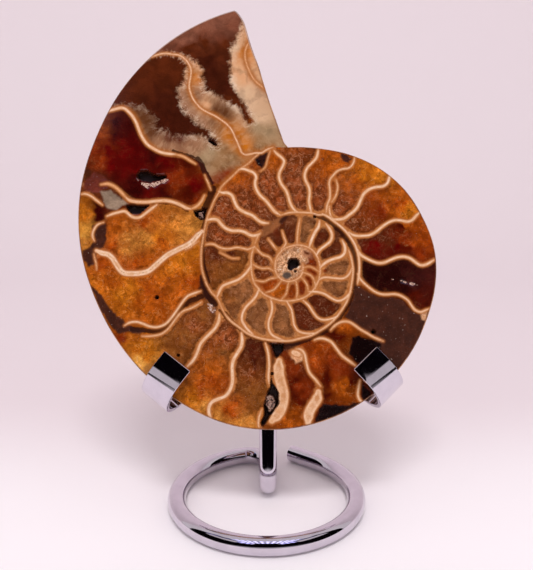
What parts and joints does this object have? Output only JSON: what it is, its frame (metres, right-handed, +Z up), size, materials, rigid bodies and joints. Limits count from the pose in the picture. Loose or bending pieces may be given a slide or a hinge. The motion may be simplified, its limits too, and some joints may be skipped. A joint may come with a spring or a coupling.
{
  "type": "ammonite fossil half on stand",
  "caption": "Polished sawn half of a chambered spiral fossil shell, leaning in the hooked straps of a bent chrome bar stand with an open ring base.",
  "frame": {"origin": "on the floor, under the middle of the whole object's box", "axes": "+Z up, -Y towards the viewer who faces the sawn and polished face, +X to that viewer's right"},
  "size_m": [0.0962, 0.0664, 0.1347],
  "materials": {
    "fossil": "polished",
    "stand": "mirror"
  },
  "bodies": {
    "root": {"ammonite_half": "fossil", "stand_rod": "stand", "left_hook_strap": "stand", "right_hook_strap": "stand"}
  },
  "joints": []
}
